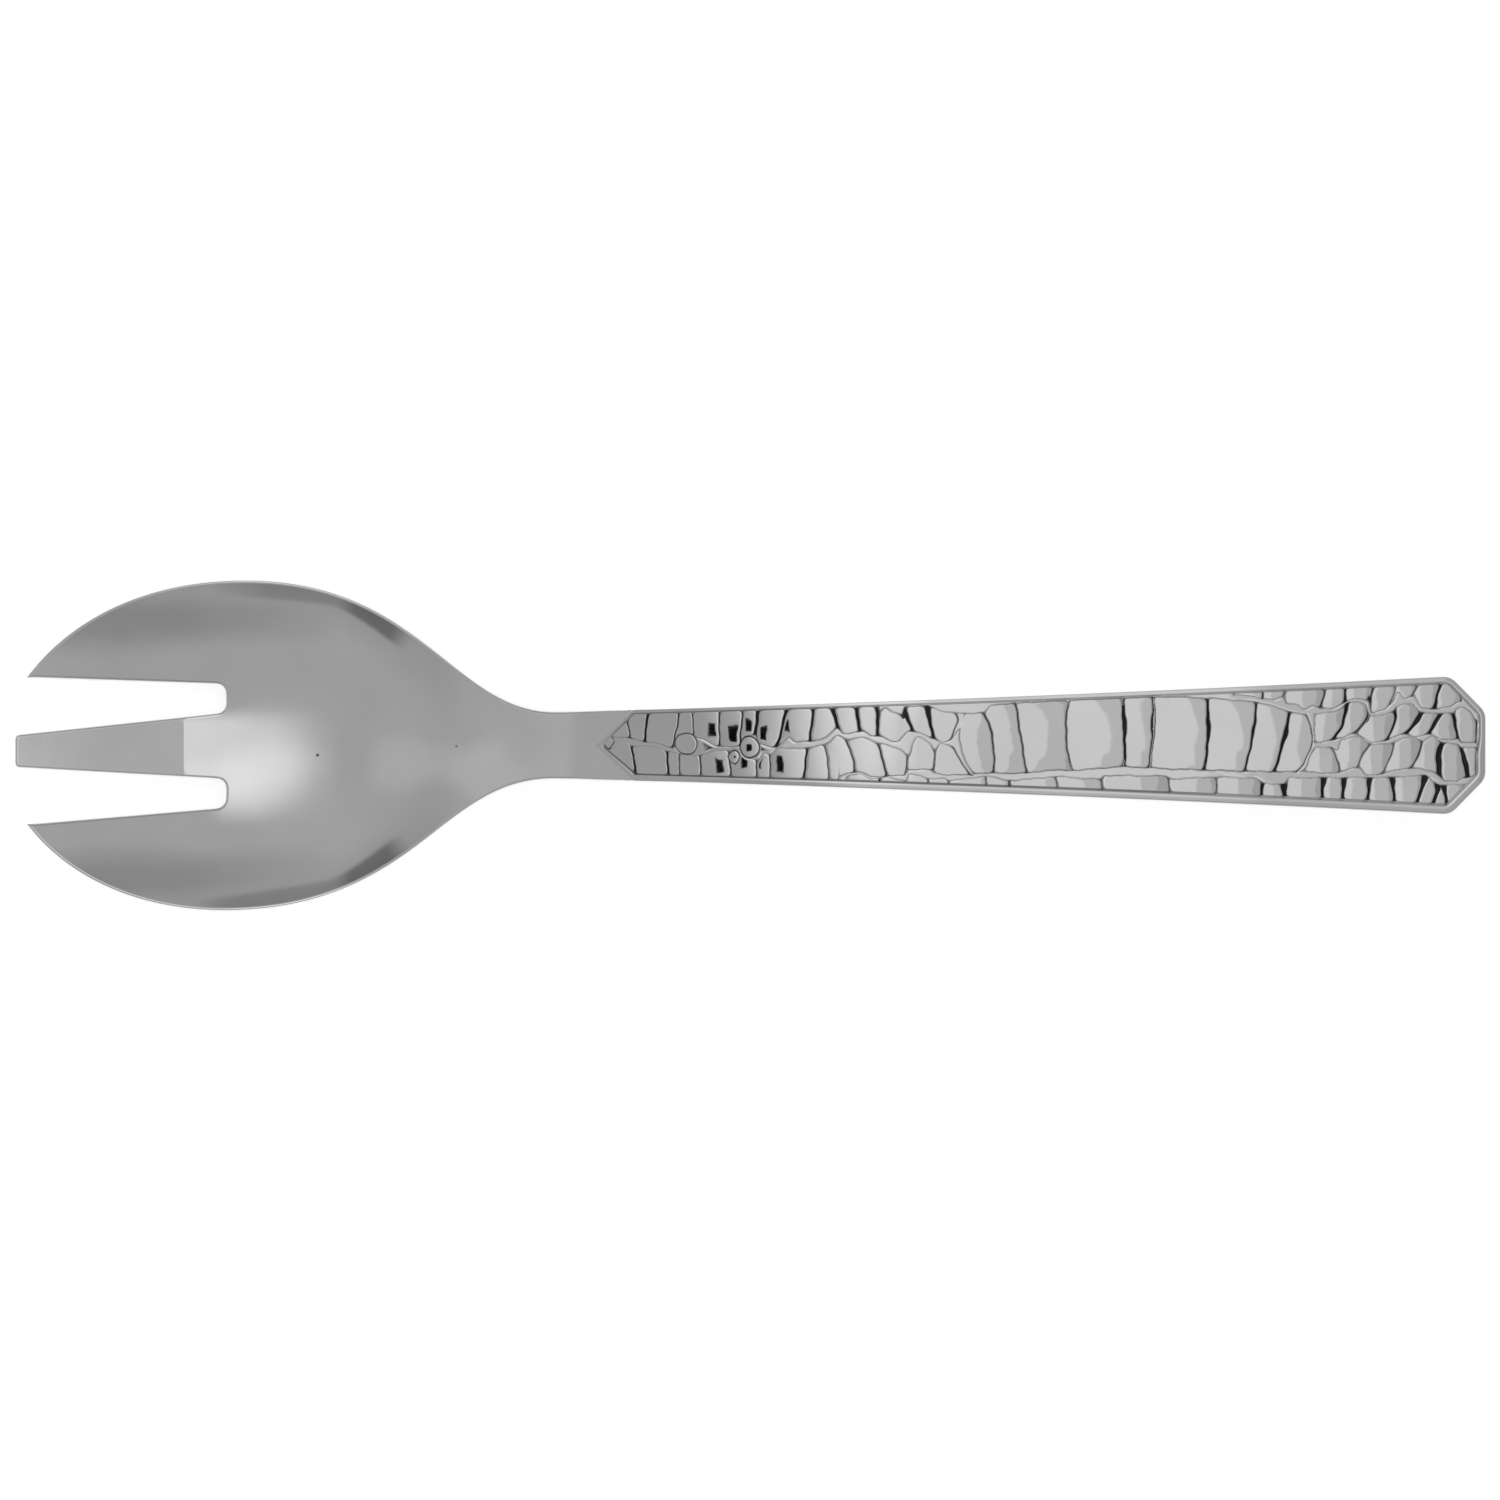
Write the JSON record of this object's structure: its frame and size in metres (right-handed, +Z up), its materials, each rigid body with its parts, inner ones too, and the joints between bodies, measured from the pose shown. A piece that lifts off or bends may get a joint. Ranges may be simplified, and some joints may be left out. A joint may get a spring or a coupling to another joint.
{
  "type": "salad serving spoon",
  "caption": "Steel salad server with a dished, tined bowl on a plain neck, and a tapering hollow handle with a pointed nose, a clipped butt and a scale-embossed panel.",
  "frame": {"origin": "on the table, under the middle of the overall length, with the server lying bowl up", "axes": "+X from the tine tips to the handle's butt, +Y across the bowl, +Z up out of the bowl"},
  "size_m": [0.254, 0.0568, 0.0239],
  "materials": {
    "bowl_steel": "polished stainless steel",
    "front_steel": "polished stainless steel, die struck",
    "back_steel": "polished stainless steel",
    "core_resin": "cast resin"
  },
  "bodies": {
    "root": {"tined_bowl": "bowl_steel", "handle_front_shell": "front_steel", "handle_back_shell": "back_steel", "handle_core": "core_resin"}
  },
  "joints": []
}
